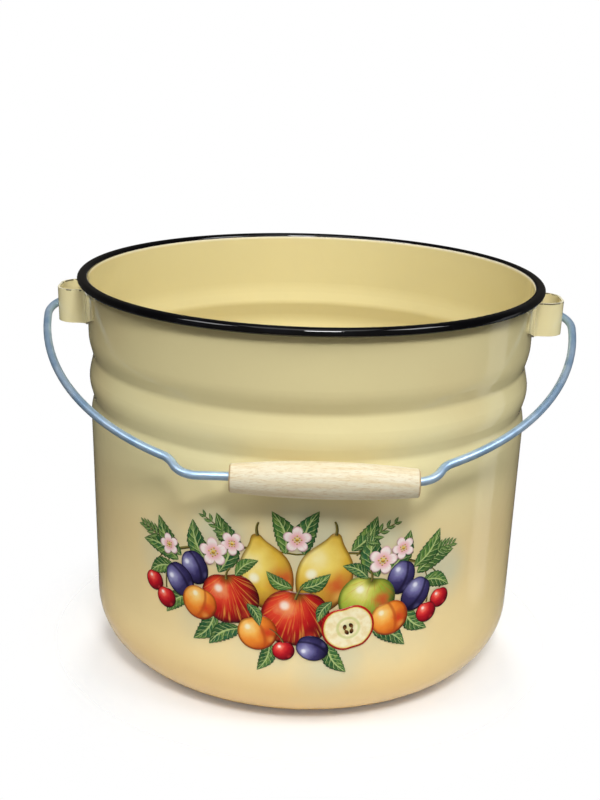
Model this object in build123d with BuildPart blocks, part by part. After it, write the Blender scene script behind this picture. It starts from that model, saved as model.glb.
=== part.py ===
from build123d import *
import os
from math import acos, asin, atan2, cos, degrees, hypot, radians, sin, sqrt, tan

# Enamel bucket: a drawn body with two rolled grooves and a curled rim, two strap ears
# welded under the rim, and a wire bail with a turned wooden grip.
# Millimetres, +Z up. The origin is the centre of the plane that the bucket stands on.
# The ears lie on the X axis and the bail rests against the wall on the -Y side.

# Driving dimensions of the body
sheet = 1.0  # enamelled steel sheet
height = 240.6  # floor to the top of the rim
mouth_radius = 136.96  # outside of the wall, carried up to the top of the rim
draft = 1.0  # lean of the wall, in degrees
base_corner = 35.5  # outside radius of the rounded lower edge
ring_width = 9.0  # flat ring that the bucket stands on
base_step = 8.0  # sloped step from the ring to the raised middle of the base
base_rise = 2.5  # height of that step
base_bend = 6.0  # bend radius at both ends of the step
upper_groove_drop = 49.3  # top of the rim to the bottom of the upper groove
lower_groove_drop = 75.3  # top of the rim to the bottom of the lower groove
upper_groove_depth = 2.4
lower_groove_depth = 1.9
groove_flank = 14.0  # slope of a groove's sides from the wall, in degrees
groove_valley = 6.0  # rounding at the bottom of a groove
groove_shoulder = 30.0  # rounding where a groove meets the plain wall
groove_bulge = 20.0  # rounding of the ridge between the grooves

# Driving dimensions of the curled rim
rim_width = 6.54  # inside of the wall to the outermost reach of the curl
rim_depth = 4.8  # height of the curl
rim_seam_gap = 0.3  # gap between the sheet's curled edge and the wall
lip_turn = 52.0  # part of the curl that keeps the body's colour, in degrees

# Driving dimensions of the ears
strap = 1.3  # thickness of the strap
ear_drop = 11.6  # top of the rim to the top of the loop
ear_height = 20.6  # height of the strap at the loop
ear_depth = 18.64  # wall to the outer face of the loop
ear_width = 32.0  # outside width of the loop
ear_corner = 11.0  # outside radius of the loop's corners
ear_fold = 4.0  # radius of the strap's middle line where a foot leaves the wall
foot_span = 54.0  # ear's middle to the tip of a foot
foot_lower_rise = 11.0  # rise of a foot's lower edge towards its tip
foot_upper_rise = 4.0  # rise of a foot's upper edge towards its tip
foot_tip = 4.0  # rounding of a foot's tip
foot_sweep = 16.0  # rounding where a foot's edges start to rise

# Driving dimensions of the bail
wire = 4.7  # wire diameter
pivot_rise = 9.6  # bottom of the loop to the bail's axis
pivot_slope = 44.0  # slope of the wire from the bail's axis where it goes through the ear, in degrees
pivot_clearance = 0.45  # gap between the sloped wire and its hole
elbow_radius = 17.0  # middle-line radius of the bend outside the ear
hook_radius = 4.0  # middle-line radius of the two bends behind the ear
pin_length = 0.5  # straight wire between those two bends
tail_length = 5.0  # straight end of the wire after the hook
tail_round = 0.8  # rounding of the wire's ends
knee_radius = 15.0  # middle-line radius of the two bends between the bow and the straight middle

# Driving dimensions of the grip
grip_length = 100.0
grip_diameter = 20.0  # at the belly
grip_end_diameter = 15.4
grip_chamfer = 0.8
bore_clearance = 1.2  # bore's radius less the wire's
hang_gap = 0.15  # gap left between the bore and the wire that it hangs on
grip_play = 7.6  # straight wire past each end of the grip when it is in the middle
grip_shift = 9.3  # the grip rests this far towards +X, its end just over the start of the bend
rim_clearance = 2.4  # gap between the grip and the rim as the bail swings over it
rest_gap = 0.3  # gap between the resting grip and the wall


def wall(z):
    """Outside radius of the plain wall at a height."""
    return mouth_radius - tan(radians(draft)) * (height - z)


def groove_reach(corner_depth):
    """Distance along the wall from a groove's bottom to the sharp corner of its shoulder."""
    return corner_depth / tan(radians(groove_flank))


# Heights and corners of the wall's section
flank_slope = tan(radians(groove_flank))
valley_cut = groove_valley * (1 / cos(radians(groove_flank)) - 1)
upper_corner_depth = upper_groove_depth + valley_cut
lower_corner_depth = lower_groove_depth + valley_cut
upper_groove = height - upper_groove_drop
lower_groove = height - lower_groove_drop
bulge_shift = (lower_corner_depth - upper_corner_depth) / flank_slope
bulge_height = (upper_groove + lower_groove + bulge_shift) / 2
bulge_proud = (upper_groove - bulge_height) * flank_slope - upper_corner_depth
upper_shoulder = upper_groove + groove_reach(upper_corner_depth)
lower_shoulder = lower_groove - groove_reach(lower_corner_depth)
ring_outer = wall(0) - base_corner * tan(radians(45 - draft / 2))
ring_inner = ring_outer - ring_width
panel_radius = ring_inner - base_step
curl_radius = rim_depth / 2  # outside of the curl
curl_hollow = curl_radius - sheet  # inside of the curl
curl_start = height - curl_radius + curl_hollow * sin(radians(draft))

section_corners = [
    (0, base_rise),
    (panel_radius, base_rise),
    (ring_inner, 0),
    (wall(0), 0),
    (wall(lower_shoulder), lower_shoulder),
    (wall(lower_groove) - lower_corner_depth, lower_groove),
    (wall(bulge_height) + bulge_proud, bulge_height),
    (wall(upper_groove) - upper_corner_depth, upper_groove),
    (wall(upper_shoulder), upper_shoulder),
    (wall(curl_start), curl_start),
]
section_bends = [
    base_bend,
    base_bend,
    base_corner,
    groove_shoulder,
    groove_valley,
    groove_bulge,
    groove_valley,
    groove_shoulder,
]

# Bail's axis, reach and rest angle
ear_top = height - ear_drop
ear_bottom = ear_top - ear_height
pivot_height = ear_bottom + pivot_rise
grip_radius = grip_diameter / 2
rim_radius = mouth_radius - sheet + rim_width
ear_reach = mouth_radius + ear_depth
bail_reach = hypot(rim_radius + rim_clearance + grip_radius, height - pivot_height)
# The grip hangs on the wire and comes to rest on the round shoulder under the lower groove. The angle
# follows from the triangle of the bail's axis, the grip's axis and the centre of that shoulder.
grip_hang = bore_clearance - hang_gap
grip_reach = hypot(bail_reach, grip_hang)
shoulder_tilt = radians(groove_flank / 2 - draft)
shoulder_set_back = groove_shoulder / cos(radians(groove_flank / 2))
shoulder_centre_radius = wall(lower_shoulder) - shoulder_set_back * cos(shoulder_tilt)
shoulder_centre_height = lower_shoulder - shoulder_set_back * sin(shoulder_tilt)
shoulder_fall = pivot_height - shoulder_centre_height
shoulder_distance = hypot(shoulder_centre_radius, shoulder_fall)
rest_distance = groove_shoulder + grip_radius + rest_gap
rest_squares = grip_reach**2 + shoulder_distance**2 - rest_distance**2
rest_cosine = rest_squares / (2 * grip_reach * shoulder_distance)
grip_angle = degrees(atan2(shoulder_fall, shoulder_centre_radius) - acos(rest_cosine))
rest_angle = grip_angle - degrees(atan2(grip_hang, bail_reach))
rest_sine = sin(radians(rest_angle))
rest_cos = cos(radians(rest_angle))
bail_plane = Plane(origin=(0, 0, pivot_height), x_dir=(1, 0, 0), z_dir=(0, rest_sine, -rest_cos))

os.makedirs("parts", exist_ok=True)

# Bucket body: one drawn sheet from the middle of the base to the start of the curled rim
with BuildPart() as bucket_body:
    with BuildSketch(Plane.XZ):
        with BuildLine() as skin:
            side = FilletPolyline(*section_corners, radius=section_bends)
            lip = JernArc(side @ 1, side % 1, curl_hollow, -lip_turn)
            lip_end = lip @ 1
            lip_heading = lip % 1
            offset(amount=sheet, side=Side.LEFT)
        make_face()
    revolve(axis=Axis.Z)
bucket_body.part.label = "bucket_body"
export_step(bucket_body.part, "parts/bucket_body.step")

# Rim bead: the rest of the curl, flattened a little, in black
rim_flat = rim_radius - curl_radius - curl_hollow * cos(radians(draft)) - wall(curl_start)
rim_return = rim_radius - curl_radius - wall(height - rim_depth) - rim_seam_gap
with BuildPart() as rim_bead:
    with BuildSketch(Plane.XZ):
        with BuildLine() as curl:
            rise = JernArc(lip_end, lip_heading, curl_hollow, lip_turn + draft - 90)
            top = PolarLine(rise @ 1, rim_flat, direction=rise % 1)
            turn = JernArc(top @ 1, top % 1, curl_hollow, -180)
            PolarLine(turn @ 1, rim_return, direction=turn % 1)
            offset(amount=sheet, side=Side.LEFT)
        make_face()
    revolve(axis=Axis.Z)
rim_bead.part.label = "rim_bead"
export_step(rim_bead.part, "parts/rim_bead.step")

# Ears: a strap bent into a loop, with two feet that lie on the wall and rise towards their tips.
# The strap leans with the wall, so the feet touch it over their full height. The hole takes the wire
# as it slopes through the strap, in every position of the bail.
pivot_turn = radians(pivot_slope)
elbow_side = elbow_radius * sin(pivot_turn)
elbow_down = elbow_radius * cos(pivot_turn)
pivot_hole = elbow_down - sqrt((elbow_radius - wire / 2) ** 2 - elbow_side**2) + pivot_clearance
half_loop = (ear_width - strap) / 2
foot_line = wall(ear_bottom) + strap / 2
foot_angle = degrees(asin(foot_span / foot_line))
fold_angle = degrees(asin((half_loop + ear_fold) / (foot_line + ear_fold)))
loop_corner = ear_corner - strap / 2
loop_end = ear_reach - strap / 2 - ear_height * tan(radians(draft))
strap_top = ear_height + foot_upper_rise
strap_lean = strap_top * tan(radians(draft))
strap_section = [
    (0, -strap / 2),
    (0, strap / 2),
    (strap_top, strap / 2 + strap_lean),
    (strap_top, -strap / 2 + strap_lean),
]
ear_outline = [
    (0, ear_bottom),
    (half_loop + ear_fold, ear_bottom),
    (foot_span, ear_bottom + foot_lower_rise),
    (foot_span, ear_top + foot_upper_rise),
    (half_loop + ear_fold, ear_top),
    (0, ear_top),
]
for ear_name, facing in (("left_ear", -1), ("right_ear", 1)):
    with BuildPart() as ear:
        seat = Plane(origin=(0, 0, ear_bottom), x_dir=(facing, 0, 0), z_dir=(0, 0, 1))
        with BuildLine(seat) as strap_line:
            foot = CenterArc((0, 0), foot_line, -foot_angle, foot_angle - fold_angle)
            fold = JernArc(foot @ 1, foot % 1, ear_fold, fold_angle - 90)
            arm = Line(fold @ 1, (loop_end - loop_corner, -half_loop))
            corner = JernArc(arm @ 1, arm % 1, loop_corner, 90)
            Line(corner @ 1, (loop_end, 0))
            mirror(about=Plane.XZ)
            foot_start = foot @ 0
            foot_heading = foot % 0
        with BuildSketch(Plane(origin=foot_start, x_dir=(0, 0, 1), z_dir=foot_heading)):
            Polygon(*strap_section, align=None)
        sweep(path=strap_line.wire())
        with BuildSketch(Plane.YZ):
            with BuildLine():
                FilletPolyline(*ear_outline, radius=[foot_sweep, foot_tip, foot_tip, foot_sweep])
                mirror(about=Plane.YZ)
            make_face()
        extrude(amount=facing * ear_reach, mode=Mode.INTERSECT)
        with BuildSketch(Plane.YZ):
            with Locations((0, pivot_height)):
                Circle(pivot_hole)
        extrude(amount=facing * ear_reach, mode=Mode.SUBTRACT)
    ear.part.label = ear_name
    export_step(ear.part, f"parts/{ear_name}.step")

# Bail wire: one piece from hook to hook. A straight middle carries the grip, two bends at each end
# of it step up to the round bow, and an elbow and a hook hold the wire in the ear.
# The bow is round about the bail's axis, and the wire crosses that axis at the loop's outer face. How
# far the two bends turn follows from the triangle of the bail's axis and the centres of both bends.
elbow_across = ear_reach - (ear_height - pivot_rise) * tan(radians(draft)) - elbow_side
bow_radius = elbow_radius + hypot(elbow_across, elbow_down)
elbow_set = degrees(atan2(elbow_down, elbow_across))
middle_half = grip_length / 2 + grip_play
knee_down = bail_reach - knee_radius
knee_distance = hypot(middle_half, knee_down)
bend_distance = bow_radius + knee_radius
bend_step = 2 * knee_radius
bend_squares = bend_distance**2 - knee_distance**2 - bend_step**2
knee_turn = atan2(middle_half, knee_down) + acos(bend_squares / (2 * knee_distance * bend_step))
bend_across = middle_half + bend_step * sin(knee_turn)
bend_down = knee_down + bend_step * cos(knee_turn)
knee_angle = degrees(knee_turn)
bend_angle = knee_angle - degrees(atan2(bend_across, bend_down))
bow_angle = 90 - elbow_set + bend_angle - knee_angle
with BuildPart() as bail_wire:
    with BuildLine(bail_plane) as bends:
        middle = Line((0, bail_reach), (middle_half, bail_reach))
        knee = JernArc(middle @ 1, middle % 1, knee_radius, -knee_angle)
        bend = JernArc(knee @ 1, knee % 1, knee_radius, bend_angle)
        bow = JernArc(bend @ 1, bend % 1, bow_radius, -bow_angle)
        elbow = JernArc(bow @ 1, bow % 1, elbow_radius, pivot_slope - elbow_set - 90)
        throat = JernArc(elbow @ 1, elbow % 1, hook_radius, -pivot_slope)
        pin = PolarLine(throat @ 1, pin_length, direction=throat % 1)
        hook = JernArc(pin @ 1, pin % 1, hook_radius, -90)
        tail = PolarLine(hook @ 1, tail_length, direction=hook % 1)
        mirror(about=Plane.YZ)
        tail_end = tail @ 1
        tail_heading = tail % 1
    with BuildSketch(Plane(origin=tail_end, z_dir=tail_heading)):
        Circle(wire / 2)
    sweep(path=bends.wire())
    fillet(bail_wire.faces().filter_by(GeomType.PLANE).edges(), tail_round)
bail_wire.part.label = "bail_wire"
export_step(bail_wire.part, "parts/bail_wire.step")

# Wooden grip: a turned barrel that hangs and spins on the wire's straight middle
grip_seat = bail_plane.from_local_coords((grip_shift, bail_reach, grip_hang))
grip_plane = Plane(origin=grip_seat, x_dir=(1, 0, 0), z_dir=bail_plane.z_dir)
grip_half = grip_length / 2
grip_end = grip_end_diameter / 2
bore = wire / 2 + bore_clearance
with BuildPart() as wooden_grip:
    with BuildSketch(grip_plane):
        with BuildLine():
            belly = ThreePointArc(
                (-grip_half + grip_chamfer, grip_end), (0, grip_radius), (grip_half - grip_chamfer, grip_end)
            )
            Polyline(
                belly @ 1,
                (grip_half, grip_end - grip_chamfer),
                (grip_half, bore),
                (-grip_half, bore),
                (-grip_half, grip_end - grip_chamfer),
                belly @ 0,
            )
        make_face()
    revolve(axis=Axis(grip_seat, (1, 0, 0)))
wooden_grip.part.label = "wooden_grip"
export_step(wooden_grip.part, "parts/wooden_grip.step")
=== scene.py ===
import math

import bmesh
import bpy
from mathutils import Matrix, Vector
from mathutils.bvhtree import BVHTree


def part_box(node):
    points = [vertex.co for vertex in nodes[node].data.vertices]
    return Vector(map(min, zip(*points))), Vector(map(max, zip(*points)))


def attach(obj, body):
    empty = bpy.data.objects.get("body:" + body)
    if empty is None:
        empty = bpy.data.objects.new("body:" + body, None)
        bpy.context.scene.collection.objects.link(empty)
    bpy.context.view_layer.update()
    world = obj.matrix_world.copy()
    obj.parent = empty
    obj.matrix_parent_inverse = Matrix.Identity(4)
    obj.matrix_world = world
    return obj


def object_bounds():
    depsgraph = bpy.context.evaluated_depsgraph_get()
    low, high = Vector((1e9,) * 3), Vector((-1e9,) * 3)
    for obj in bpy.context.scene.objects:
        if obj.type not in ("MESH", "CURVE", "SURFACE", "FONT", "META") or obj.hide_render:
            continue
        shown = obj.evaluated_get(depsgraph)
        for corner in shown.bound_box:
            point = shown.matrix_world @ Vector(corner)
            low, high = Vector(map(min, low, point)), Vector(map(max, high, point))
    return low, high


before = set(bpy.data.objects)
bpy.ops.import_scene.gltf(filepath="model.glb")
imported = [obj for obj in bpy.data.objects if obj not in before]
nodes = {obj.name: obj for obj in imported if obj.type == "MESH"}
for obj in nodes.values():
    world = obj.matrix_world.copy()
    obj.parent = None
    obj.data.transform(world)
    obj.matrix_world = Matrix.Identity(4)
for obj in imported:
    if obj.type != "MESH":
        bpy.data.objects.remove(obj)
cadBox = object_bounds()
millimetre = 0.001


# small helpers for shader nodes; the owner is a material or the world
def startMaterial(name):
    mat = bpy.data.materials.new(name)
    mat.use_nodes = True
    return mat, mat.node_tree.nodes["Principled BSDF"]


def join(owner, value, socket):
    if isinstance(value, bpy.types.NodeSocket):
        owner.node_tree.links.new(value, socket)
    else:
        socket.default_value = value


def addNode(owner, kind, sockets=None, **settings):
    made = owner.node_tree.nodes.new(kind)
    for key, value in settings.items():
        setattr(made, key, value)
    for key, value in (sockets or {}).items():
        join(owner, value, made.inputs[key])
    return made


def srgb(red, green, blue):  # colour picker values, 0 to 255
    def linear(c):
        c = c / 255
        return c / 12.92 if c <= 0.04045 else ((c + 0.055) / 1.055) ** 2.4
    return (linear(red), linear(green), linear(blue), 1)


def tint(**tones):
    return {key: srgb(*value) for key, value in tones.items()}


def ramp(owner, factor, stops, smooth="LINEAR"):
    made = addNode(owner, "ShaderNodeValToRGB", {"Fac": factor})
    made.color_ramp.interpolation = smooth
    elements = made.color_ramp.elements
    while len(elements) < len(stops):
        elements.new(0.5)
    for element, (position, colour) in zip(elements, stops):
        element.position = position
        element.color = colour
    return made.outputs["Color"]


def mixColour(owner, factor, first, second):
    made = addNode(owner, "ShaderNodeMix", {"Factor": factor, "A": first, "B": second}, data_type="RGBA")
    return made.outputs["Result"]


def spread(owner, value, fromLow, fromHigh, toLow=0.0, toHigh=1.0):
    limits = {"From Min": fromLow, "From Max": fromHigh, "To Min": toLow, "To Max": toHigh}
    made = addNode(owner, "ShaderNodeMapRange", {"Value": value} | limits, interpolation_type="SMOOTHSTEP")
    return made.outputs["Result"]


def grain(owner, place, scale, detail, stretch=(1, 1, 1)):
    mapped = addNode(owner, "ShaderNodeMapping", {"Vector": place, "Scale": stretch}).outputs["Vector"]
    made = addNode(owner, "ShaderNodeTexNoise", {"Vector": mapped, "Scale": scale, "Detail": detail})
    return made.outputs["Fac"]


def patches(owner, place, setup):  # a mask from noise
    return spread(owner, grain(owner, place, *setup["grain"]), *setup["spread"])


def maths(owner, operation, first, second=0.0):
    return addNode(owner, "ShaderNodeMath", {0: first, 1: second}, operation=operation).outputs["Value"]


def times(owner, first, second):
    return maths(owner, "MULTIPLY", first, second)


def vectorMaths(owner, operation, first, second=(0, 0, 0)):
    return addNode(owner, "ShaderNodeVectorMath", {0: first, 1: second}, operation=operation).outputs


def split(owner, vector):
    return addNode(owner, "ShaderNodeSeparateXYZ", {"Vector": vector}).outputs


def ownPlace(mat):
    return addNode(mat, "ShaderNodeTexCoord").outputs["Object"]


def facing(mat):
    return addNode(mat, "ShaderNodeNewGeometry").outputs["Normal"]


def relief(mat, shader, height, strength, distance):
    made = addNode(mat, "ShaderNodeBump", {"Height": height, "Strength": strength, "Distance": distance})
    join(mat, made.outputs["Normal"], shader.inputs["Normal"])


def peel(mat, shader, place, setup):  # a finish that isn't quite even
    relief(mat, shader, grain(mat, place, *setup["grain"]), *setup["relief"])


def setGloss(shader, setup):
    shader.inputs["Roughness"].default_value = setup["roughness"]
    shader.inputs["Specular IOR Level"].default_value = setup["specular"]


def dress(name, mat):
    slots = nodes[name].data.materials
    slots.clear()
    slots.append(mat)


# camera at the photograph's angle
view = {
    "target": Vector((-0.004766, 0, 0.158036)),
    "distance": 0.794451,
    "elevation": math.radians(17.412),
    "roll": math.radians(1.683),
    "focalPixels": 1248.98,
    "framePixels": 800,  # long side
    "sensor": 36,  # mm on that side
}
ahead = Vector((0, math.cos(view["elevation"]), -math.sin(view["elevation"])))
right = Vector((1, 0, 0))
above = right.cross(ahead)
cameraX = right * math.cos(view["roll"]) + above * math.sin(view["roll"])
cameraY = above * math.cos(view["roll"]) - right * math.sin(view["roll"])
cameraData = bpy.data.cameras.new("photoCamera")
cameraData.sensor_width = view["sensor"]
cameraData.lens = view["focalPixels"] / view["framePixels"] * view["sensor"]
camera = bpy.data.objects.new("photoCamera", cameraData)
camera.matrix_world = Matrix.Translation(view["target"] - ahead * view["distance"]) @ Matrix(
    (cameraX, cameraY, -ahead)).transposed().to_4x4()
bpy.context.scene.collection.objects.link(camera)
bpy.context.scene.camera = camera
print("stage: camera")

# soft studio light
studio = {
    "aim": Vector((0, 0, 0.13)),  # every lamp points here
    "lamps": {
        "keyBox": {"at": (0.15, -1.17, 1.35), "size": (0.4, 0.3), "power": 16},
        "leftBox": {"at": (-1.1, -0.7, 1.45), "size": (0.6, 0.6), "power": 7.4},
        "rightBox": {"at": (1.1, -0.6, 1.45), "size": (0.6, 0.6), "power": 9.4},
        "overheadBox": {"at": (0, -0.4, 1.4), "size": (0.9, 0.8), "power": 3.5},
        "stripBox": {"at": (1.05, 0.25, -0.12), "size": (0.3, 0.6), "power": 0.28},  # for the wall's gloss
    },
    "hiddenLamps": {  # for the back, and for the base through the floor's opening; no gloss shows them
        "backBox": {"at": (0, 1.4, 0.7), "size": (0.4, 0.4), "power": 17},
        "lowBox": {"at": (0, 0, -0.7), "size": (0.3, 0.3), "power": 3},
    },
    "roomTint": (1, 0.93, 0.8, 1),
    "roomLight": (-1, -0.1, 0.2, 0.06),  # by the heading's Y: brighter on the camera's side
    "background": (1, 1, 1, 1),
    "sheetTop": (-0.02, 0.06, 1, 0),  # in gloss the background is a sheet, which ends by the heading's Z
    "sheetSides": (0.94, 0.99, 0, 1),  # and by its Y
}
for lampName, lamp in (studio["lamps"] | studio["hiddenLamps"]).items():
    lampData = bpy.data.lights.new(lampName, "AREA")
    lampData.shape = "RECTANGLE"
    lampData.size, lampData.size_y = lamp["size"]
    lampData.energy = lamp["power"]
    lampObject = bpy.data.objects.new(lampName, lampData)
    lampObject.location = lamp["at"]
    lampObject.rotation_euler = (studio["aim"] - Vector(lamp["at"])).to_track_quat("-Z", "Y").to_euler()
    lampObject.visible_camera = False
    lampObject.visible_glossy = lampName not in studio["hiddenLamps"]
    bpy.context.scene.collection.objects.link(lampObject)

world = bpy.data.worlds.new("studioWorld")
bpy.context.scene.world = world
world.use_nodes = True
heading = split(world, addNode(world, "ShaderNodeTexCoord").outputs["Generated"])
lit = world.node_tree.nodes["Background"]
join(world, studio["roomTint"], lit.inputs["Color"])
join(world, spread(world, heading["Y"], *studio["roomLight"]), lit.inputs["Strength"])
seen = addNode(world, "ShaderNodeBackground", {"Color": studio["background"]})
rays = addNode(world, "ShaderNodeLightPath").outputs
inGloss = times(world, rays["Is Glossy Ray"], spread(world, heading["Z"], *studio["sheetTop"]))
inGloss = times(world, inGloss, spread(world, heading["Y"], *studio["sheetSides"]))
looking = maths(world, "MAXIMUM", rays["Is Camera Ray"], rays["Is Transmission Ray"])
looking = maths(world, "MAXIMUM", looking, inGloss)
pick = addNode(world, "ShaderNodeMixShader", {"Fac": looking, 1: lit.outputs[0], 2: seen.outputs[0]})
join(world, pick.outputs["Shader"], world.node_tree.nodes["World Output"].inputs["Surface"])

# pale floor that fades into the white background
floorSetup = {
    "opening": 0.0975,  # hidden under the foot ring
    "radius": 0.28,
    "segments": 96,
    "colour": (0.94, 0.94, 0.94, 1),
    "roughness": 0.9,
    "fade": (0.085, 0.2),  # distances from the middle
}
ringPoints = []
ringFaces = []
for segment in range(floorSetup["segments"]):
    angle = 2 * math.pi * segment / floorSetup["segments"]
    for radius in (floorSetup["opening"], floorSetup["radius"]):
        ringPoints.append((radius * math.cos(angle), radius * math.sin(angle), 0))
    after = (segment + 1) % floorSetup["segments"]
    ringFaces.append((2 * segment, 2 * segment + 1, 2 * after + 1, 2 * after))
floorMesh = bpy.data.meshes.new("floor")
floorMesh.from_pydata(ringPoints, [], ringFaces)
floor = bpy.data.objects.new("floor", floorMesh)
bpy.context.scene.collection.objects.link(floor)

floorMat, floorShader = startMaterial("paleFloor")
floorShader.inputs["Base Color"].default_value = floorSetup["colour"]
floorShader.inputs["Roughness"].default_value = floorSetup["roughness"]
reach = vectorMaths(floorMat, "LENGTH", ownPlace(floorMat))["Value"]
fade = spread(floorMat, reach, *floorSetup["fade"])
fromBelow = addNode(floorMat, "ShaderNodeNewGeometry").outputs["Backfacing"]
fade = maths(floorMat, "MAXIMUM", fade, fromBelow)
floorRays = addNode(floorMat, "ShaderNodeLightPath").outputs  # it still throws light back at the bucket
floorSeen = maths(floorMat, "MAXIMUM", floorRays["Is Camera Ray"], floorRays["Is Glossy Ray"])
floorSeen = maths(floorMat, "MAXIMUM", floorSeen, floorRays["Is Transmission Ray"])
clear = addNode(floorMat, "ShaderNodeBsdfTransparent").outputs["BSDF"]
faded = addNode(floorMat, "ShaderNodeMixShader", {
    "Fac": times(floorMat, fade, floorSeen), 1: floorShader.outputs["BSDF"], 2: clear})
join(floorMat, faded.outputs["Shader"], floorMat.node_tree.nodes["Material Output"].inputs["Surface"])
floorMesh.materials.append(floorMat)
print("stage: light and floor")

# black enamel on the rim, brushed a little way down the inside
rimFinish = {
    "black": srgb(2, 2, 5),
    "thin": srgb(10, 11, 18),
    "thinPatches": {"grain": (60, 3), "spread": (0.5, 0.75)},
    "peel": {"grain": (120, 2), "relief": (0.08, 0.001)},
    "roughness": 0.07,
    "specular": 0.42,
    "dip": 0.0016,  # mean depth of the black inside the rim
    "dipLean": (-0.0045, 0.0015, 0),  # deeper towards the back left, for each metre that way
    "dipBlur": 0.00025,
    "lipHighlightTone": srgb(253, 248, 228),  # painted highlight: the cream is painted paler just under the black, where the lip curls up into the light
    "paleBand": 0.0022,
    "paleShare": 0.85,
}
rimMat, rimShader = startMaterial("blackEnamel")
rimPlace = ownPlace(rimMat)
thinMask = patches(rimMat, rimPlace, rimFinish["thinPatches"])
rimTone = mixColour(rimMat, thinMask, rimFinish["black"], rimFinish["thin"])
join(rimMat, rimTone, rimShader.inputs["Base Color"])
setGloss(rimShader, rimFinish)
peel(rimMat, rimShader, rimPlace, rimFinish["peel"])
dress("rim_bead", rimMat)

# cream enamel on the body and the ears
enamel = {
    "tones": [  # height in metres and colour: a warm tint at the rounded lower edge, and painted shade and light by height: darker where that edge faces down, brightest low on the wall, a little darker and cooler towards the top
        (0.0, srgb(224, 182, 114)),
        (0.022, srgb(236, 205, 145)),
        (0.05, srgb(252, 228, 170)),
        (0.1, srgb(238, 216, 161)),
        (0.16, srgb(238, 228, 177)),
        (0.2, srgb(230, 218, 166)),
        (0.2406, srgb(228, 216, 164)),
    ],
    "cloud": srgb(226, 205, 152),
    "clouds": {"grain": (12, 2), "spread": (0.4, 0.75, 0, 0.45)},
    "peel": {"grain": (90, 2), "relief": (0.13, 0.001)},
    "roughness": 0.07,
    "specular": 0.5,
}


def creamMaterial(name):
    mat, shader = startMaterial(name)
    place = ownPlace(mat)
    top = enamel["tones"][-1][0]
    share = maths(mat, "DIVIDE", split(mat, place)["Z"], top)
    # the tones paint shade and light by height
    tone = ramp(mat, share, [(height / top, colour) for height, colour in enamel["tones"]], "EASE")
    tone = mixColour(mat, patches(mat, place, enamel["clouds"]), tone, enamel["cloud"])
    setGloss(shader, enamel)
    peel(mat, shader, place, enamel["peel"])
    return mat, shader, place, tone


# the body: almost one tone inside, painted darker and yellower there as painted shade and bounce light, a
# printed haze behind the swag, and the black brushed over the rim with a painted highlight just under it
bodyFinish = {
    # painted shade and bounce light: the inside's own darker, yellower tone
    "inside": srgb(226, 213, 157),
    "insideShare": 0.8,
    "haze": srgb(172, 203, 200),
    "hazeShare": 0.42,
    "hazeCore": 0.25,  # share of a spot's radius at full strength
    "hazeSpots": [  # along the wall, up and radius in mm
        (-84, 98, 30), (-56, 70, 32), (-22, 58, 32), (16, 54, 36), (54, 64, 34), (82, 92, 30), (2, 122, 34),
        (-50, 116, 26), (50, 114, 26),
    ],
    "wisps": {"grain": (26, 3), "spread": (0.25, 0.75, 0.25, 1)},
}
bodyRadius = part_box("bucket_body")[1].x


def outerSide(mat, place):  # 1 where the surface faces away from the bucket's middle
    middle = (0, 0, cadBox[1].z / 2)
    outward = vectorMaths(mat, "SUBTRACT", place, middle)["Vector"]
    return maths(mat, "GREATER_THAN", vectorMaths(mat, "DOT_PRODUCT", outward, facing(mat))["Value"], 0.0)


def hazeMask(mat, place):
    parts = split(mat, place)
    around = maths(mat, "ARCTAN2", parts["X"], times(mat, parts["Y"], -1.0))
    along = times(mat, around, bodyRadius / millimetre)
    up = times(mat, parts["Z"], 1 / millimetre)
    onSheet = addNode(mat, "ShaderNodeCombineXYZ", {"X": along, "Y": up}).outputs["Vector"]
    mask = 0.0
    for spotAlong, spotUp, radius in bodyFinish["hazeSpots"]:
        away = vectorMaths(mat, "DISTANCE", onSheet, (spotAlong, spotUp, 0))["Value"]
        spot = spread(mat, away, radius * bodyFinish["hazeCore"], radius, 1, 0)
        mask = maths(mat, "MAXIMUM", spot, mask)
    mask = times(mat, mask, patches(mat, place, bodyFinish["wisps"]))
    return times(mat, mask, bodyFinish["hazeShare"])


def brushRim(mat, place, tone):
    lean = vectorMaths(mat, "DOT_PRODUCT", place, rimFinish["dipLean"])["Value"]
    height = maths(mat, "ADD", split(mat, place)["Z"], lean)
    blackFrom = cadBox[1].z - rimFinish["dip"]
    # painted highlight: a pale band on the lip just under the black
    pale = spread(mat, height, blackFrom - rimFinish["paleBand"], blackFrom, 0, rimFinish["paleShare"])
    black = spread(mat, height, blackFrom - rimFinish["dipBlur"], blackFrom + rimFinish["dipBlur"])
    tone = mixColour(mat, pale, tone, rimFinish["lipHighlightTone"])
    return mixColour(mat, black, tone, rimFinish["black"])


bodyMat, bodyShader, bodyPlace, bodyTone = creamMaterial("creamEnamel")
outer = outerSide(bodyMat, bodyPlace)
insideMask = times(bodyMat, maths(bodyMat, "SUBTRACT", 1.0, outer), bodyFinish["insideShare"])
outerHaze = times(bodyMat, hazeMask(bodyMat, bodyPlace), outer)
bodyTone = mixColour(bodyMat, insideMask, bodyTone, bodyFinish["inside"])
bodyTone = mixColour(bodyMat, outerHaze, bodyTone, bodyFinish["haze"])
join(bodyMat, brushRim(bodyMat, bodyPlace, bodyTone), bodyShader.inputs["Base Color"])
dress("bucket_body", bodyMat)
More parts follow.
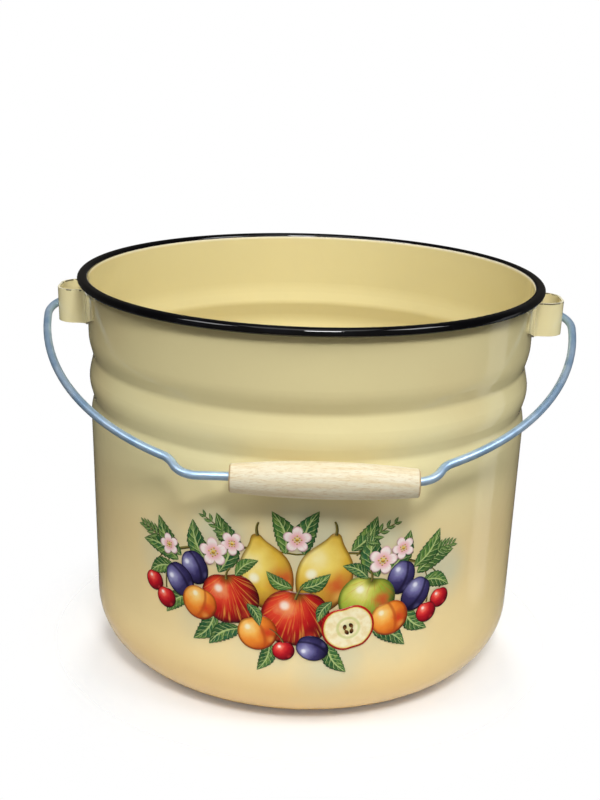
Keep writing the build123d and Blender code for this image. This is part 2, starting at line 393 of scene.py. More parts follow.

# the ears: thinner, paler enamel, painted lighter where the strap faces upwards as a painted highlight, and
# chipped just under its upper edge
earFinish = {
    "tone": srgb(250, 239, 190),
    "toneShare": 0.5,
    "upFacingHighlightTone": srgb(240, 234, 204),
    "upward": (0.5, 0.8),  # Z of the surface's direction, from where to where the painted highlight comes in
    "steel": srgb(46, 40, 34),
    "chips": {"grain": (210, 3), "spread": (0.46, 0.53, 0, 0.9)},
    "loopTop": 0.229,
    "chipFrom": 0.0011,  # depths below the loop's top
    "chipFull": 0.0004,
    "loopHalf": 0.0175,  # chips stay this near to the loop's middle, off the feet
}
earMat, earShader, earPlace, earTone = creamMaterial("earEnamel")
earParts = split(earMat, earPlace)
underEdge = spread(earMat, earParts["Z"], earFinish["loopTop"] - earFinish["chipFrom"],
                   earFinish["loopTop"] - earFinish["chipFull"])
onLoop = maths(earMat, "LESS_THAN", maths(earMat, "ABSOLUTE", earParts["Y"]), earFinish["loopHalf"])
chips = times(earMat, patches(earMat, earPlace, earFinish["chips"]), times(earMat, underEdge, onLoop))
# painted highlight on the faces that look upwards
upFacingHighlight = spread(earMat, split(earMat, facing(earMat))["Z"], *earFinish["upward"])
earTone = mixColour(earMat, earFinish["toneShare"], earTone, earFinish["tone"])
earTone = mixColour(earMat, chips, earTone, earFinish["steel"])
earTone = mixColour(earMat, upFacingHighlight, earTone, earFinish["upFacingHighlightTone"])
join(earMat, earTone, earShader.inputs["Base Color"])
for name in ("left_ear", "right_ear"):
    dress(name, earMat)

# galvanised wire
wireFinish = {
    "zinc": srgb(188, 214, 240),
    "dull": srgb(156, 190, 224),
    "dullPatches": {"grain": (60, 3), "spread": (0.35, 0.65)},
    "bright": srgb(222, 236, 248),
    "spangles": 420.0,  # crystals in a metre
    "brightSpangles": (0.62, 0.95, 0, 0.2),
    "peel": {"grain": (700, 2), "relief": (0.1, 0.0005)},
    "metallic": 0.6,
    "roughness": 0.38,
}
wireMat, wireShader = startMaterial("galvanisedWire")
wirePlace = ownPlace(wireMat)
dullMask = patches(wireMat, wirePlace, wireFinish["dullPatches"])
wireTone = mixColour(wireMat, dullMask, wireFinish["zinc"], wireFinish["dull"])
spangles = addNode(wireMat, "ShaderNodeTexVoronoi", {"Vector": wirePlace, "Scale": wireFinish["spangles"]})
brightMask = spread(wireMat, spangles.outputs["Color"], *wireFinish["brightSpangles"])
wireTone = mixColour(wireMat, brightMask, wireTone, wireFinish["bright"])
join(wireMat, wireTone, wireShader.inputs["Base Color"])
wireShader.inputs["Metallic"].default_value = wireFinish["metallic"]
wireShader.inputs["Roughness"].default_value = wireFinish["roughness"]
peel(wireMat, wireShader, wirePlace, wireFinish["peel"])
dress("bail_wire", wireMat)

# pale turned wood, darker on its end grain
wood = {
    "pale": srgb(225, 218, 194),
    "figure": srgb(218, 199, 158),
    "figurePatches": {"grain": (420, 4, (0.06, 1, 1)), "spread": (0.38, 0.7, 0, 0.7)},
    "fleck": srgb(196, 166, 116),
    "poreGrain": (2600, 2, (0.1, 1, 1)),
    "poreSpread": (0.5, 0.68, 0, 0.5),
    "poreRelief": (0.25, 0.0004),
    "end": srgb(190, 152, 100),
    "endShare": 0.8,
    "endFrom": 0.0012,  # depths below the end's face
    "endFull": 0.0002,
    "roughness": 0.45,
    "specular": 0.2,
}
woodMat, woodShader = startMaterial("turnedWood")
woodPlace = ownPlace(woodMat)
figureMask = patches(woodMat, woodPlace, wood["figurePatches"])
woodTone = mixColour(woodMat, figureMask, wood["pale"], wood["figure"])
pores = grain(woodMat, woodPlace, *wood["poreGrain"])
woodTone = mixColour(woodMat, spread(woodMat, pores, *wood["poreSpread"]), woodTone, wood["fleck"])
gripLow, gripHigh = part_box("wooden_grip")
gripMiddle = (gripLow.x + gripHigh.x) / 2
gripHalf = gripHigh.x - gripMiddle
alongGrip = maths(woodMat, "SUBTRACT", split(woodMat, woodPlace)["X"], gripMiddle)
endMask = spread(woodMat, maths(woodMat, "ABSOLUTE", alongGrip), gripHalf - wood["endFrom"],
                 gripHalf - wood["endFull"], 0, wood["endShare"])
woodTone = mixColour(woodMat, endMask, woodTone, wood["end"])
join(woodMat, woodTone, woodShader.inputs["Base Color"])
setGloss(woodShader, wood)
relief(woodMat, woodShader, pores, *wood["poreRelief"])
dress("wooden_grip", woodMat)
print("stage: finishes")

# printed fruit swag on the front of the wall, laid out in millimetres from its middle
swag = {
    "middle": (-4, 88),  # along the wall from the front, and up from the floor
    "baseLift": 0.10,  # from the wall to the lowest layer
    "layerLift": 0.05,
    "turnLift": 0.004,  # each next motif of a kind lies this much higher
    "turns": 11,  # and then the count starts again
    "thickness": 0.08,
    "seedStep": 3.7,  # gives each motif its own brushwork
    "roughness": 0.22,
    "specular": 0.16,
    "rayStart": 1.5,  # rays at the wall start this many body radii out
}
bodyTree = BVHTree.FromObject(nodes["bucket_body"], bpy.context.evaluated_depsgraph_get())
rayStart = bodyRadius * swag["rayStart"]
wallRadius = rayStart - bodyTree.ray_cast(
    Vector((0, -rayStart, swag["middle"][1] * millimetre)), Vector((0, 1, 0)))[3]


def onWall(along, up, lift):
    angle = along * millimetre / wallRadius
    outward = Vector((math.sin(angle), -math.cos(angle), 0))
    start = outward * rayStart + Vector((0, 0, up * millimetre))
    hit = bodyTree.ray_cast(start, -outward)[0]
    return hit + outward * lift * millimetre


def turned(x, y, degrees):
    cosine = math.cos(math.radians(degrees))
    sine = math.sin(math.radians(degrees))
    return x * cosine - y * sine, x * sine + y * cosine


class PrintPiece:  # collects the motifs of one kind into one mesh
    def __init__(self, name):
        self.name = name
        self.points = []
        self.faces = []
        self.local = []  # motif's own coordinates, and its seed
        self.edge = []  # 0 in a motif's middle, 1 on its outline
        self.count = 0

    def lay(self, rows, closed, at, size, turn, layer):
        lift = swag["baseLift"] + layer * swag["layerLift"] + self.count % swag["turns"] * swag["turnLift"]
        self.count += 1
        first = len(self.points)
        for row in rows:
            for x, y, local, edge in row:
                acrossX, acrossY = turned(x, y, turn)
                along = swag["middle"][0] + at[0] + size * acrossX
                up = swag["middle"][1] + at[1] + size * acrossY
                self.points.append(onWall(along, up, lift))
                self.local.append((*local, self.count * swag["seedStep"]))
                self.edge.append(edge)
        wide = len(rows[0])
        for r in range(len(rows) - 1):
            for c in range(wide if closed else wide - 1):
                nextC = (c + 1) % wide
                self.faces.append((first + r * wide + c, first + (r + 1) * wide + c,
                                   first + (r + 1) * wide + nextC, first + r * wide + nextC))
        if closed:
            self.faces.append(tuple(first + c for c in range(wide)))

    def finish(self, mat):
        mesh = bpy.data.meshes.new(self.name)
        mesh.from_pydata(self.points, [], self.faces)
        mesh.attributes.new("local", "FLOAT_VECTOR", "POINT").data.foreach_set(
            "vector", [value for item in self.local for value in item])
        mesh.attributes.new("edge", "FLOAT", "POINT").data.foreach_set("value", self.edge)
        bm = bmesh.new()
        bm.from_mesh(mesh)
        bmesh.ops.recalc_face_normals(bm, faces=bm.faces)
        for face in bm.faces:  # every sheet faces away from the wall
            middle = face.calc_center_median()
            if face.normal.dot(Vector((middle.x, middle.y, 0))) < 0:
                face.normal_flip()
            face.smooth = True
        bm.to_mesh(mesh)
        bm.free()
        piece = bpy.data.objects.new(self.name, mesh)
        bpy.context.scene.collection.objects.link(piece)
        skin = piece.modifiers.new("thickness", "SOLIDIFY")
        skin.thickness = swag["thickness"] * millimetre
        skin.offset = -1
        mesh.materials.append(mat)
        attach(piece, "bucket")


def printMaterial(name):
    mat, shader = startMaterial(name)
    setGloss(shader, swag)
    return mat, shader, addNode(mat, "ShaderNodeAttribute", attribute_name="local").outputs["Vector"]


def edgeShare(mat):
    return addNode(mat, "ShaderNodeAttribute", attribute_name="edge").outputs["Fac"]


def apart(mat, local, x, y):  # distance from a point of the motif, without its seed
    flat = vectorMaths(mat, "MULTIPLY", local, (1, 1, 0))["Vector"]
    return vectorMaths(mat, "DISTANCE", flat, (x, y, 0))["Value"]


# outlines of the round motifs, as x and y at an angle from the top, turning to the right
rounds = {
    "rings": 8,
    "spokes": 44,
    "innermost": 0.03,  # the smallest ring's share of the outline
}
appleShape = {"topNotch": 0.17, "topWidth": 0.42, "lowNotch": 0.07, "lowWidth": 0.3, "shoulders": 0.05,
              "wide": 1.04}
pearShape = {"half": 0.72, "waist": 0.36, "waistAt": 0.55, "waistWidth": 0.5, "tall": 1.12}
plumShape = {"notch": 0.06, "notchWidth": 0.35, "wide": 0.8}
cherryShape = {"notch": 0.13, "notchWidth": 0.4, "tall": 0.95}
blossomShape = {"heart": 0.56, "petals": 5, "roundness": 0.7}


def notchAt(angle, middle, width):  # a soft notch in an outline
    away = (angle - middle + math.pi) % (2 * math.pi) - math.pi
    return math.exp(-((away / width) ** 2))


def appleOutline(angle):
    radius = 1 - appleShape["topNotch"] * notchAt(angle, 0, appleShape["topWidth"])
    radius -= appleShape["lowNotch"] * notchAt(angle, math.pi, appleShape["lowWidth"])
    radius += appleShape["shoulders"] * math.cos(angle)
    return appleShape["wide"] * radius * math.sin(angle), radius * math.cos(angle)


def pearOutline(angle):
    half = pearShape["half"]
    for waistAt in (pearShape["waistAt"], -pearShape["waistAt"]):
        half -= pearShape["waist"] * notchAt(angle, waistAt, pearShape["waistWidth"])
    return half * math.sin(angle), pearShape["tall"] * math.cos(angle)


def plumOutline(angle):
    radius = 1 - plumShape["notch"] * notchAt(angle, 0, plumShape["notchWidth"])
    return plumShape["wide"] * radius * math.sin(angle), radius * math.cos(angle)


def cherryOutline(angle):
    radius = 1 - cherryShape["notch"] * notchAt(angle, 0, cherryShape["notchWidth"])
    return radius * math.sin(angle), cherryShape["tall"] * radius * math.cos(angle)


def blossomOutline(angle):
    petal = abs(math.cos(blossomShape["petals"] / 2 * angle)) ** blossomShape["roundness"]
    radius = blossomShape["heart"] + (1 - blossomShape["heart"]) * petal
    return radius * math.sin(angle), radius * math.cos(angle)


def discOutline(angle):
    return math.sin(angle), math.cos(angle)


def roundRows(outline, rings=rounds["rings"], spokes=rounds["spokes"]):
    rows = []
    for r in range(rings + 1):
        share = rounds["innermost"] + (1 - rounds["innermost"]) * r / rings
        row = []
        for s in range(spokes):
            x, y = outline(2 * math.pi * s / spokes)
            row.append((x * share, y * share, (x * share, y * share), share))
        rows.append(row)
    return rows


# whole fruit; each motif has its place in mm from the swag's middle, size in mm, turn in degrees and layer
fruitPaint = {
    "brush": (3.2, 4),  # scale and detail of the brushwork
    "lightAt": (-0.32, 0.34),  # the painted light falls from the upper left
    "lightBrush": 0.34,
    "lightScale": 0.62,
    "lightSteps": {"glow": 0.12, "light": 0.34, "mid": 0.56, "dark": 0.86, "deep": 1.0},
    "blushBrush": 0.5,
    "blushFrom": 0.25,
    "blushShare": 0.9,
    "stalkAt": 0.95,  # fine streaks fan out from here
    "streakFan": 9.0,
    "streakAlong": 0.5,
    "streakGrain": (2.2, 3),
    "streakSpread": (0.5, 0.72, 0),
    "creaseBow": 0.3,
    "creaseSpread": (0.015, 0.13, 0.75, 0),
    "hollowAt": (0.0, 0.8),
    "hollowSpread": (0.05, 0.36, 0.85, 0),
    "outline": (0.84, 1.0, 0, 0.75),
    "bounceAt": (0.55, -0.58),  # light thrown back from below
    "bounceSpread": (0.05, 0.3, 0.4, 0),
    "bounceInside": (0.95, 0.8),
    "glintSpread": (0.05, 0.2, 0.85, 0),
}
highLeft = (-0.36, 0.4)  # usual place of the glint
pears = {
    "places": [(-17, 12, 21, 15, 4), (16, 13, 22, -13, 4)],
    "tones": tint(glow=(255, 240, 170), light=(247, 221, 112), mid=(226, 184, 66), dark=(176, 122, 38),
                  deep=(104, 66, 24), blush=(205, 82, 42), glint=(255, 252, 226)),
    "blushAt": (0.42, -0.3),
    "blushReach": 0.55,
    "glintAt": (-0.34, -0.1),
}
redApples = {
    "places": [(-37, -7, 16.5, 10, 6), (0, -15, 18.5, -5, 8)],
    "tones": tint(glow=(252, 170, 112), light=(228, 70, 44), mid=(190, 26, 26), dark=(120, 12, 20),
                  deep=(62, 6, 14), streak=(244, 172, 74), hollow=(112, 80, 24), glint=(255, 240, 228)),
    "streakShare": 0.6,
    "glintAt": highLeft,
}
greenApples = {
    "places": [(40, -5, 16, -12, 6)],
    "tones": tint(glow=(244, 240, 168), light=(212, 212, 96), mid=(160, 180, 62), dark=(94, 124, 42),
                  deep=(48, 72, 26), blush=(208, 70, 40), streak=(206, 92, 48), hollow=(84, 84, 24),
                  glint=(255, 253, 232)),
    "blushAt": (0.55, 0.1),
    "blushReach": 0.5,
    "streakShare": 0.45,
    "glintAt": highLeft,
}
apricots = {
    "places": [(-21, -25, 11.5, 22, 9), (-56, -13, 11, -16, 7.5), (54, -17, 11.5, 14, 7)],
    "tones": tint(glow=(255, 226, 150), light=(252, 186, 86), mid=(240, 140, 44), dark=(200, 86, 24),
                  deep=(128, 46, 16), blush=(210, 56, 30), crease=(190, 78, 24), glint=(255, 244, 214)),
    "blushAt": (0.45, -0.15),
    "blushReach": 0.5,
    "glintAt": highLeft,
}
plums = {
    "places": [(-59, 8, 10.5, 22, 5), (-69, -2, 11, 38, 6), (60, 7, 10.5, -18, 5), (70, -5, 11, -34, 6),
               (10, -33, 9.5, 68, 10)],
    "tones": tint(glow=(176, 178, 214), light=(112, 108, 162), mid=(58, 52, 100), dark=(32, 26, 60),
                  deep=(16, 12, 32), crease=(24, 18, 46), glint=(236, 238, 250)),
    "glintAt": highLeft,
}
cherries = {
    "places": [(-88, -8, 6.6, 0, 7), (-79, -16, 6.9, 0, 8), (87, -11, 6.6, 0, 7), (78, -18, 6.9, 0, 8),
               (-6, -35, 6.4, 0, 11)],
    "tones": tint(glow=(255, 158, 132), light=(232, 62, 58), mid=(188, 18, 34), dark=(112, 8, 26),
                  deep=(60, 4, 16), glint=(255, 240, 236)),
    "glintAt": highLeft,
}


def blushMask(mat, local, brush, setup):
    away = apart(mat, local, *setup["blushAt"])
    away = maths(mat, "ADD", away, times(mat, brush, fruitPaint["blushBrush"]))
    start = fruitPaint["blushFrom"]
    return spread(mat, away, start, start + setup["blushReach"], fruitPaint["blushShare"], 0)


def streakMask(mat, parts, setup):
    below = maths(mat, "SUBTRACT", parts["Y"], fruitPaint["stalkAt"])
    fan = times(mat, maths(mat, "ARCTAN2", parts["X"], below), fruitPaint["streakFan"])
    along = times(mat, below, fruitPaint["streakAlong"])
    lines = addNode(mat, "ShaderNodeCombineXYZ", {"X": fan, "Y": along, "Z": parts["Z"]}).outputs["Vector"]
    streaks = grain(mat, lines, *fruitPaint["streakGrain"])
    return spread(mat, streaks, *fruitPaint["streakSpread"], setup["streakShare"])


def creaseMask(mat, parts):  # the seam of a stone fruit
    bow = maths(mat, "SUBTRACT", 1.0, times(mat, parts["Y"], parts["Y"]))
    away = maths(mat, "SUBTRACT", parts["X"], times(mat, bow, fruitPaint["creaseBow"]))
    return spread(mat, maths(mat, "ABSOLUTE", away), *fruitPaint["creaseSpread"])


def bounceMask(mat, local, edge):
    low = spread(mat, apart(mat, local, *fruitPaint["bounceAt"]), *fruitPaint["bounceSpread"])
    return times(mat, low, spread(mat, edge, *fruitPaint["bounceInside"]))


def fruitMaterial(name, setup):
    mat, shader, local = printMaterial(name)
    tones = setup["tones"]
    parts = split(mat, local)
    edge = edgeShare(mat)
    brush = grain(mat, local, *fruitPaint["brush"])
    fromLight = apart(mat, local, *fruitPaint["lightAt"])
    fromLight = maths(mat, "ADD", fromLight, times(mat, brush, fruitPaint["lightBrush"]))
    colour = ramp(mat, times(mat, fromLight, fruitPaint["lightScale"]),
                  [(position, tones[step]) for step, position in fruitPaint["lightSteps"].items()])
    if "blush" in tones:
        colour = mixColour(mat, blushMask(mat, local, brush, setup), colour, tones["blush"])
    if "streak" in tones:
        colour = mixColour(mat, streakMask(mat, parts, setup), colour, tones["streak"])
    if "crease" in tones:
        colour = mixColour(mat, creaseMask(mat, parts), colour, tones["crease"])
    if "hollow" in tones:  # shade round the stalk
        hollow = spread(mat, apart(mat, local, *fruitPaint["hollowAt"]), *fruitPaint["hollowSpread"])
        colour = mixColour(mat, hollow, colour, tones["hollow"])
    colour = mixColour(mat, spread(mat, edge, *fruitPaint["outline"]), colour, tones["deep"])
    colour = mixColour(mat, bounceMask(mat, local, edge), colour, tones["light"])
    glint = spread(mat, apart(mat, local, *setup["glintAt"]), *fruitPaint["glintSpread"])
    join(mat, mixColour(mat, glint, colour, tones["glint"]), shader.inputs["Base Color"])
    return mat


for kind, setup, outline in (("pears", pears, pearOutline), ("redApples", redApples, appleOutline),
                             ("greenApples", greenApples, appleOutline),
                             ("apricots", apricots, cherryOutline),
                             ("plums", plums, plumOutline), ("cherries", cherries, cherryOutline)):
    piece = PrintPiece("print_" + kind)
    for x, y, size, turn, layer in setup["places"]:
        piece.lay(roundRows(outline), True, (x, y), size, turn, layer)
    piece.finish(fruitMaterial(kind + "Print", setup))

# stems, each with its start, bend, end and width; the seeds and the blossoms' eyes share their brushwork
stemPaint = {
    "shade": (-0.7, 0.8),  # across the stem
    "bark": {"grain": (9, 3), "spread": (0.45, 0.7)},
}
stems = {
    "paths": [
        ((-88, -2), (-86, 10), (-74, 15), 1.1), ((-79, -10), (-80, 4), (-74, 15), 1.1),
        ((87, -5), (86, 8), (73, 13), 1.1), ((78, -12), (80, 2), (73, 13), 1.1),
        ((-74, 15), (-40, 30), (0, 24), 1.8), ((73, 13), (40, 29), (0, 24), 1.8),
    ],
    "sprigs": [
        ((-33, 23), (-40, 34), (-52, 40), 1.0), ((33, 23), (40, 35), (54, 40), 1.0),
        ((-80, 17), (-88, 24), (-96, 24), 0.9), ((78, 15), (86, 22), (94, 20), 0.9),
    ],
    "stalks": [
        ((-21.5, 34), (-23, 39), (-21, 42), 1.9), ((21, 36), (22, 41), (20, 44), 1.9),
        ((0, -3), (1, 2), (4, 5), 1.7), ((-39, 5), (-40, 9), (-37, 12), 1.6),
        ((42, 7), (43, 11), (41, 14), 1.6), ((-6, -30), (-9, -24), (-14, -22), 0.9),
    ],
    "pathLayer": 0,
    "stalkLayer": 13,
    "steps": 18,
    "taper": 0.45,  # share of the width lost at the end
    "tones": tint(dark=(64, 58, 26), mid=(96, 88, 40), light=(150, 138, 74)),
}


def curvePoint(t, start, mid, end):
    return [(1 - t) ** 2 * a + 2 * t * (1 - t) * b + t * t * c for a, b, c in zip(start, mid, end)]


def stemRows(start, mid, end, width):
    rows = []
    for s in range(stems["steps"] + 1):
        t = s / stems["steps"]
        x, y = curvePoint(t, start, mid, end)
        dx, dy = [2 * (1 - t) * (b - a) + 2 * t * (c - b) for a, b, c in zip(start, mid, end)]
        half = width * (1 - stems["taper"] * t) / 2 / math.hypot(dx, dy)
        rows.append([(x - dy * half * side, y + dx * half * side, (t, side), abs(side))
                     for side in (-1, 0, 1)])
    return rows


def stemMaterial(name, tones):
    mat, shader, local = printMaterial(name)
    across = split(mat, local)["Y"]
    colour = mixColour(mat, spread(mat, across, *stemPaint["shade"]), tones["dark"], tones["light"])
    colour = mixColour(mat, patches(mat, local, stemPaint["bark"]), colour, tones["mid"])
    join(mat, colour, shader.inputs["Base Color"])
    return mat


# half an apple with its seeds
cutPaint = {
    "flesh": {"grain": (4, 4), "spread": (0.35, 0.7)},
    "coreAt": (0.0, 0.02),
    "coreRadius": 0.42,
    "coreLine": (0.02, 0.09, 0.7, 0),
    "coreTint": (0.1, 0.4, 0.55, 0),
    "under": (0.84, 0.9),
    "skin": (0.9, 0.93),
}
halfApple = {
    "places": [(30, -21, 14.5, 14, 9)],
    "tones": tint(flesh=(252, 242, 206), shade=(240, 222, 168), core=(206, 208, 128), under=(236, 214, 120),
                  skin=(176, 28, 26)),
    "seeds": [(-0.13, 0.08, 160), (0.13, 0.08, 200), (-0.1, -0.14, 20), (0.1, -0.14, -20)],  # x, y and turn
    "seedSize": 0.11,
    "seedMesh": (3, 18),
    "seedTones": tint(dark=(54, 28, 14), mid=(84, 46, 20), light=(130, 84, 42)),
}


def cutMaterial(name, tones):
    mat, shader, local = printMaterial(name)
    edge = edgeShare(mat)
    fromCore = apart(mat, local, *cutPaint["coreAt"])
    fromLine = maths(mat, "ABSOLUTE", maths(mat, "SUBTRACT", fromCore, cutPaint["coreRadius"]))
    colour = mixColour(mat, patches(mat, local, cutPaint["flesh"]), tones["flesh"], tones["shade"])
    colour = mixColour(mat, spread(mat, fromLine, *cutPaint["coreLine"]), colour, tones["core"])
    colour = mixColour(mat, spread(mat, fromCore, *cutPaint["coreTint"]), colour, tones["core"])
    colour = mixColour(mat, spread(mat, edge, *cutPaint["under"]), colour, tones["under"])
    colour = mixColour(mat, spread(mat, edge, *cutPaint["skin"]), colour, tones["skin"])
    join(mat, colour, shader.inputs["Base Color"])
    return mat


piece = PrintPiece("print_halfApple")
seeds = PrintPiece("print_seeds")
for x, y, size, turn, layer in halfApple["places"]:
    piece.lay(roundRows(appleOutline), True, (x, y), size, turn, layer)
    for seedX, seedY, seedTurn in halfApple["seeds"]:
        acrossX, acrossY = turned(seedX, seedY, turn)
        spot = (x + size * acrossX, y + size * acrossY)
        rows = roundRows(pearOutline, *halfApple["seedMesh"])
        seeds.lay(rows, True, spot, size * halfApple["seedSize"], turn + seedTurn, layer + 1)
piece.finish(cutMaterial("halfApplePrint", halfApple["tones"]))
seeds.finish(stemMaterial("seedPrint", halfApple["seedTones"]))

# leaves, each with the place of its stalk, length, direction and layer, and small ones along the sprigs
leafPaint = {
    "patches": {"grain": (4, 4, (1.6, 0.7, 1)), "spread": (0.4, 0.72)},
    "shadeHalf": (-0.15, 0.1, 0.55, 0),
    "veins": 7.0,
    "veinSlant": 1.5,
    "betweenVeins": (0.35, 0.95, 0, 0.5),
    "veinAt": 0.08,  # in the step from one vein to the next
    "veinSpread": (0.03, 0.1, 0.8, 0),
    "veinEnd": (1.0, 0.55),
    "midrib": (0.05, 0.12, 0.9, 0),
    "outline": (0.84, 1.0, 0, 0.85),
}
leafShape = {
    "teeth": 9,
    "steps": 54,
    "columns": 8,
    "half": 0.24,  # of the length
    "bend": 0.12,
    "lean": 0.85,  # below 1 the leaf is widest nearer its stalk
    "roundness": 0.9,
    "toothDepth": 0.16,
    "toothEnd": 0.95,  # no teeth beyond
    "tipHalf": 0.004,
}
sprigLeafShape = leafShape | {"teeth": 3, "steps": 18, "columns": 4, "half": 0.22, "bend": 0.05}
leaves = {
    "places": [
        (-70, 10, 27, 168, 1), (-68, 13, 26, 128, 2), (-72, 5, 22, 205, 1), (-50, 12, 27, 112, 1),
        (-44, 8, 28, 78, 2), (-30, 24, 25, 128, 1), (-6, 24, 26, 108, 1), (4, 24, 27, 74, 2),
        (30, 26, 24, 55, 1), (46, 9, 29, 96, 1), (52, 12, 26, 62, 2), (70, 8, 27, 20, 1),
        (68, 12, 26, 52, 2), (73, 2, 22, -18, 1), (-62, -10, 23, 222, 3), (-46, -16, 25, 236, 4),
        (-30, -24, 24, 214, 5), (-14, -30, 20, 250, 5), (18, -30, 22, -58, 5), (44, -24, 24, -30, 5),
        (62, -12, 24, -44, 3), (-2, 4, 17, 148, 12), (2, 4, 19, 28, 13), (-34, 8, 17, 40, 9),
        (40, 9, 17, 150, 9), (-27, -8, 15, 300, 10), (20, -4, 15, 240, 8),
    ],
    "tones": tint(light=(140, 170, 82), mid=(78, 124, 56), cool=(46, 98, 70), dark=(30, 72, 42),
                  vein=(186, 204, 132), deep=(18, 46, 30)),
    "sprigPairs": 5,
    "sprigFrom": 0.35,  # share of the sprig that stays bare
    "sprigLength": 8,
    "sprigShrink": 3.5,  # less at the tip
    "sprigOpen": 62,  # degrees from the sprig
    "sprigClose": 36,  # less at the tip
    "sprigLayer": 2,
}


def leafRows(shape, bendSide):
    rows = []
    for s in range(shape["steps"] + 1):
        share = s / shape["steps"]
        body = math.sin(math.pi * share ** shape["lean"]) ** shape["roundness"] if 0 < share < 1 else 0
        tooth = (share * shape["teeth"]) % 1 if share < shape["toothEnd"] else 0
        half = max(shape["half"] * body * (1 - shape["toothDepth"] * tooth), shape["tipHalf"])
        spine = shape["bend"] * bendSide * math.sin(math.pi * share)
        row = []
        for column in range(shape["columns"] + 1):
            side = 2 * column / shape["columns"] - 1
            row.append((share, spine + half * side, (share, side), abs(side)))
        rows.append(row)
    return rows


def leafMaterial(name, tones):
    mat, shader, local = printMaterial(name)
    parts = split(mat, local)
    seed = addNode(mat, "ShaderNodeTexWhiteNoise", {"W": parts["Z"]}, noise_dimensions="1D").outputs["Value"]
    colour = mixColour(mat, seed, tones["mid"], tones["cool"])
    colour = mixColour(mat, patches(mat, local, leafPaint["patches"]), colour, tones["light"])
    colour = mixColour(mat, spread(mat, parts["Y"], *leafPaint["shadeHalf"]), colour, tones["dark"])
    away = maths(mat, "ABSOLUTE", parts["Y"])
    slant = maths(mat, "SUBTRACT", times(mat, parts["X"], leafPaint["veins"]),
                  times(mat, away, leafPaint["veinSlant"]))
    phase = maths(mat, "FRACT", slant)
    colour = mixColour(mat, spread(mat, phase, *leafPaint["betweenVeins"]), colour, tones["dark"])
    fromVein = maths(mat, "ABSOLUTE", maths(mat, "SUBTRACT", phase, leafPaint["veinAt"]))
    veins = times(mat, spread(mat, fromVein, *leafPaint["veinSpread"]),
                  spread(mat, away, *leafPaint["veinEnd"]))
    colour = mixColour(mat, veins, colour, tones["vein"])
    colour = mixColour(mat, spread(mat, away, *leafPaint["midrib"]), colour, tones["vein"])
    colour = mixColour(mat, spread(mat, away, *leafPaint["outline"]), colour, tones["deep"])
    join(mat, colour, shader.inputs["Base Color"])
    return mat


piece = PrintPiece("print_leaves")
for number, (x, y, size, turn, layer) in enumerate(leaves["places"]):
    piece.lay(leafRows(leafShape, 1 if number % 2 else -1), False, (x, y), size, turn, layer)
for start, mid, end, _ in stems["sprigs"]:
    sprigTurn = math.degrees(math.atan2(end[1] - start[1], end[0] - start[0]))
    for pair in range(leaves["sprigPairs"]):
        t = leaves["sprigFrom"] + (1 - leaves["sprigFrom"]) * pair / (leaves["sprigPairs"] - 1)
        size = leaves["sprigLength"] - leaves["sprigShrink"] * t
        opening = leaves["sprigOpen"] - leaves["sprigClose"] * t
        for side in (-1, 1):
            piece.lay(leafRows(sprigLeafShape, side), False, curvePoint(t, start, mid, end), size,
                      sprigTurn + side * opening, leaves["sprigLayer"])
piece.finish(leafMaterial("leafPrint", leaves["tones"]))

# blossoms with their eyes and stamens
blossomPaint = {
    "steps": {"heart": 0.08, "blush": 0.3, "petal": 0.7, "tip": 1.0},  # outwards
    "fan": 5.0,
    "fanGrain": (2.5, 2),
    "fanSpread": (0.5, 0.75, 0, 0.5),
    "outline": (0.86, 1.0, 0, 0.7),
}
blossoms = {
    "places": [(-47, 20, 8.8, 8, 11), (-36, 27, 7.2, 40, 10), (48, 19, 8.8, -14, 11), (60, 25, 7, 24, 10),
               (-76, 18, 6.6, 15, 11), (0, 33, 8, 0, 9)],
    "mesh": (6, 60),
    "tones": tint(heart=(206, 214, 130), blush=(238, 176, 184), petal=(252, 240, 236), tip=(250, 226, 226),
                  line=(190, 130, 140)),
    "eyeSize": 0.13,
    "eyeMesh": (2, 16),
    "stamens": 8,
    "stamenReach": (0.3, 0.22),  # by turns
    "stamenSize": 0.06,
    "stamenMesh": (2, 10),
    "eyeTones": tint(dark=(150, 100, 30), mid=(214, 160, 52), light=(246, 214, 104)),
}


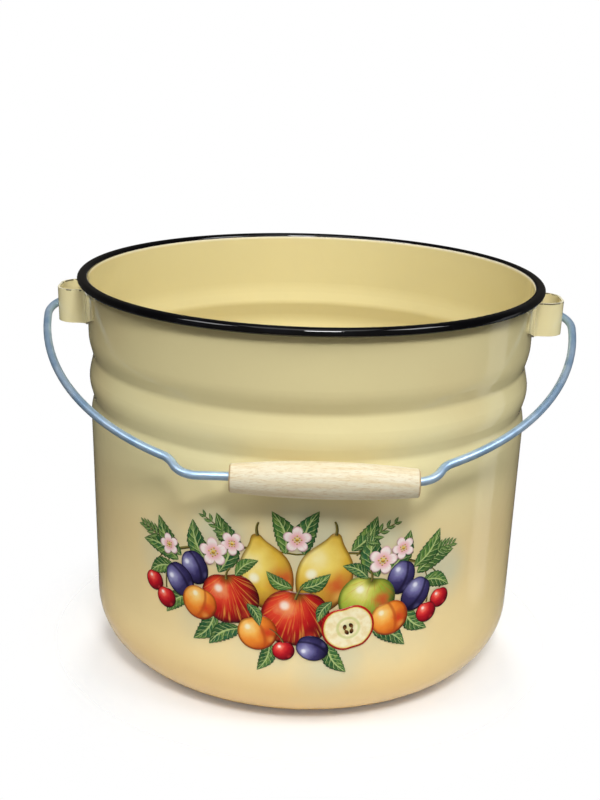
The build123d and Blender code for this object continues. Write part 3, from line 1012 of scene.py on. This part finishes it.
def blossomMaterial(name, tones):
    mat, shader, local = printMaterial(name)
    parts = split(mat, local)
    colour = ramp(mat, apart(mat, local, 0.0, 0.0),
                  [(position, tones[step]) for step, position in blossomPaint["steps"].items()])
    fan = times(mat, maths(mat, "ARCTAN2", parts["X"], parts["Y"]), blossomPaint["fan"])
    lines = addNode(mat, "ShaderNodeCombineXYZ", {"X": fan, "Z": parts["Z"]}).outputs["Vector"]
    fanMask = spread(mat, grain(mat, lines, *blossomPaint["fanGrain"]), *blossomPaint["fanSpread"])
    colour = mixColour(mat, fanMask, colour, tones["blush"])
    colour = mixColour(mat, spread(mat, edgeShare(mat), *blossomPaint["outline"]), colour, tones["line"])
    join(mat, colour, shader.inputs["Base Color"])
    return mat


piece = PrintPiece("print_blossoms")
eyes = PrintPiece("print_blossomEyes")
for x, y, size, turn, layer in blossoms["places"]:
    piece.lay(roundRows(blossomOutline, *blossoms["mesh"]), True, (x, y), size, turn, layer)
    for stamen in range(blossoms["stamens"]):
        angle = 2 * math.pi * stamen / blossoms["stamens"] + turn  # the turn only varies where they start
        stamenReach = size * blossoms["stamenReach"][stamen % 2]
        spot = (x + stamenReach * math.sin(angle), y + stamenReach * math.cos(angle))
        rows = roundRows(discOutline, *blossoms["stamenMesh"])
        eyes.lay(rows, True, spot, size * blossoms["stamenSize"], 0, layer + 1)
    rows = roundRows(discOutline, *blossoms["eyeMesh"])
    eyes.lay(rows, True, (x, y), size * blossoms["eyeSize"], 0, layer + 1)
piece.finish(blossomMaterial("blossomPrint", blossoms["tones"]))
eyes.finish(stemMaterial("blossomEyePrint", blossoms["eyeTones"]))

piece = PrintPiece("print_stems")
for layer, paths in ((stems["pathLayer"], stems["paths"] + stems["sprigs"]),
                     (stems["stalkLayer"], stems["stalks"])):
    for start, mid, end, width in paths:
        piece.lay(stemRows(start, mid, end, width), False, (0, 0), 1, 0, layer)
piece.finish(stemMaterial("stemPrint", stems["tones"]))
print("stage: printed swag")

bpy.context.scene.view_settings.view_transform = "Standard"
